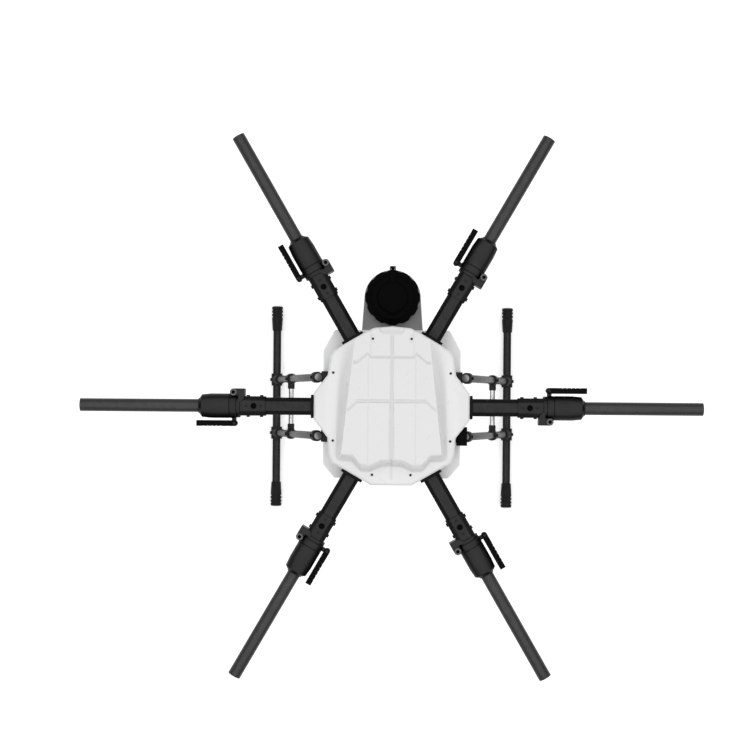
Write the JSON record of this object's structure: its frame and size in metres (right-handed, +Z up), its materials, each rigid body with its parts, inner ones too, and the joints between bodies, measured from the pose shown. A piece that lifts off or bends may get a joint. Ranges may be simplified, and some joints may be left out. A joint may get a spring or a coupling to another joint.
{
  "type": "hexacopter sprayer airframe",
  "caption": "Folding hexacopter airframe: white domed hub, hinged carbon arms with latch levers, slide-in spray tank with flip-lid cap, skid landing gear.",
  "frame": {"origin": "on the ground under the hub axis, at the middle of the object's plan", "axes": "+X to the right arm's tip, +Y to the filler cap at the rear, +Z up"},
  "size_m": [1.436, 1.2586, 0.508],
  "materials": {
    "outer_carbon": "clear-coated woven carbon, fine cross weave",
    "root_carbon": "satin bevelled carbon tube",
    "plate_carbon": "matte carbon sheet with cut edges",
    "fold_black": "fine-grained black glass-filled nylon",
    "lever_black": "black moulded lever with grip blocks",
    "bolt_steel": "turned steel, worn rim",
    "screw_black": "black oxide screws",
    "cover_white": "glossy white moulded shell",
    "tank_plastic": "milky translucent polyethylene",
    "cap_black": "black moulded cap, satin",
    "seal_rubber": "soft black rubber",
    "grip_rubber": "ribbed black rubber",
    "brace_metal": "polished aluminium tube",
    "gear_carbon": "clear-coated carbon tube",
    "battery_wrap": "shrink-wrapped pack",
    "case_grey": "grey electronics case",
    "board_green": "lacquered circuit board",
    "post_metal": "turned aluminium",
    "leg_grey": "grey anodised tube"
  },
  "bodies": {
    "airframe": {"root_tubes": "root_carbon", "fold_bolts": "bolt_steel", "socket_screws": "screw_black", "arm_collars": "fold_black", "collar_bolts": "screw_black", "upper_plate": "plate_carbon", "lower_plate": "plate_carbon", "side_panels": "fold_black", "hub_posts": "post_metal", "top_cover": "cover_white", "cover_screws": "screw_black", "battery": "battery_wrap", "autopilot": "case_grey", "power_board": "board_green", "side_connector": "lever_black", "tank_rails": "post_metal", "legs": "leg_grey", "skid_left": "gear_carbon", "skid_right": "gear_carbon", "skid_tees": "fold_black", "brace_clamps": "fold_black", "leg_brackets": "fold_black", "skid_grips": "grip_rubber", "gear_screws": "screw_black", "cross_braces": "brace_metal", "fold_socket_1": "fold_black", "fold_socket_2": "fold_black", "fold_socket_3": "fold_black", "fold_socket_4": "fold_black", "fold_socket_5": "fold_black", "fold_socket_6": "fold_black"},
    "spray_tank": {"tank": "tank_plastic"},
    "tank_cap": {"filler_cap": "cap_black", "cap_seal": "seal_rubber", "lid_pin": "bolt_steel"},
    "cap_flip": {"cap_lid": "cap_black"},
    "arm_1": {"fold_sleeve_1": "fold_black", "outer_tube_1": "outer_carbon", "latch_pin_1": "screw_black"},
    "latch_1": {"latch_lever_1": "lever_black"},
    "arm_2": {"fold_sleeve_2": "fold_black", "outer_tube_2": "outer_carbon", "latch_pin_2": "screw_black"},
    "latch_2": {"latch_lever_2": "lever_black"},
    "arm_3": {"fold_sleeve_3": "fold_black", "outer_tube_3": "outer_carbon", "latch_pin_3": "screw_black"},
    "latch_3": {"latch_lever_3": "lever_black"},
    "arm_4": {"fold_sleeve_4": "fold_black", "outer_tube_4": "outer_carbon", "latch_pin_4": "screw_black"},
    "latch_4": {"latch_lever_4": "lever_black"},
    "arm_5": {"fold_sleeve_5": "fold_black", "outer_tube_5": "outer_carbon", "latch_pin_5": "screw_black"},
    "latch_5": {"latch_lever_5": "lever_black"},
    "arm_6": {"fold_sleeve_6": "fold_black", "outer_tube_6": "outer_carbon", "latch_pin_6": "screw_black"},
    "latch_6": {"latch_lever_6": "lever_black"}
  },
  "joints": [
    {"name": "arm_fold_1", "type": "hinge", "parent": "airframe", "child": "arm_1", "pos_m": [0.363, -0.0315, 0.43], "axis": [0, 0, -1], "range_deg": [0, 108]},
    {"name": "latch_open_1", "type": "hinge", "parent": "arm_1", "child": "latch_1", "pos_m": [0.362, 0.04015, 0.43], "axis": [0, 0, 1], "range_deg": [0, 100]},
    {"name": "arm_fold_2", "type": "hinge", "parent": "airframe", "child": "arm_2", "pos_m": [0.20878, 0.29862, 0.43], "axis": [0, 0, -1], "range_deg": [0, 108]},
    {"name": "latch_open_2", "type": "hinge", "parent": "arm_2", "child": "latch_2", "pos_m": [0.14623, 0.33358, 0.43], "axis": [0, 0, 1], "range_deg": [0, 100]},
    {"name": "arm_fold_3", "type": "hinge", "parent": "airframe", "child": "arm_3", "pos_m": [-0.15422, 0.33012, 0.43], "axis": [0, 0, -1], "range_deg": [0, 108]},
    {"name": "latch_open_3", "type": "hinge", "parent": "arm_3", "child": "latch_3", "pos_m": [-0.21577, 0.29343, 0.43], "axis": [0, 0, 1], "range_deg": [0, 100]},
    {"name": "arm_fold_4", "type": "hinge", "parent": "airframe", "child": "arm_4", "pos_m": [-0.363, 0.0315, 0.43], "axis": [0, 0, -1], "range_deg": [0, 108]},
    {"name": "latch_open_4", "type": "hinge", "parent": "arm_4", "child": "latch_4", "pos_m": [-0.362, -0.04015, 0.43], "axis": [0, 0, 1], "range_deg": [0, 100]},
    {"name": "arm_fold_5", "type": "hinge", "parent": "airframe", "child": "arm_5", "pos_m": [-0.20878, -0.29862, 0.43], "axis": [0, 0, -1], "range_deg": [0, 108]},
    {"name": "latch_open_5", "type": "hinge", "parent": "arm_5", "child": "latch_5", "pos_m": [-0.14623, -0.33358, 0.43], "axis": [0, 0, 1], "range_deg": [0, 100]},
    {"name": "arm_fold_6", "type": "hinge", "parent": "airframe", "child": "arm_6", "pos_m": [0.15422, -0.33012, 0.43], "axis": [0, 0, -1], "range_deg": [0, 108]},
    {"name": "latch_open_6", "type": "hinge", "parent": "arm_6", "child": "latch_6", "pos_m": [0.21577, -0.29343, 0.43], "axis": [0, 0, 1], "range_deg": [0, 100]},
    {"name": "tank_slide", "type": "slide", "parent": "airframe", "child": "spray_tank", "axis": [0, 1, 0], "range_m": [0, 0.3]},
    {"name": "cap_turn", "type": "hinge", "parent": "spray_tank", "child": "tank_cap", "pos_m": [0, 0.255, 0.392], "axis": [0, 0, 1], "continuous": true},
    {"name": "lid_flip", "type": "hinge", "parent": "tank_cap", "child": "cap_flip", "pos_m": [0, 0.3245, 0.4], "axis": [-1, 0, 0], "range_deg": [0, 110]}
  ]
}
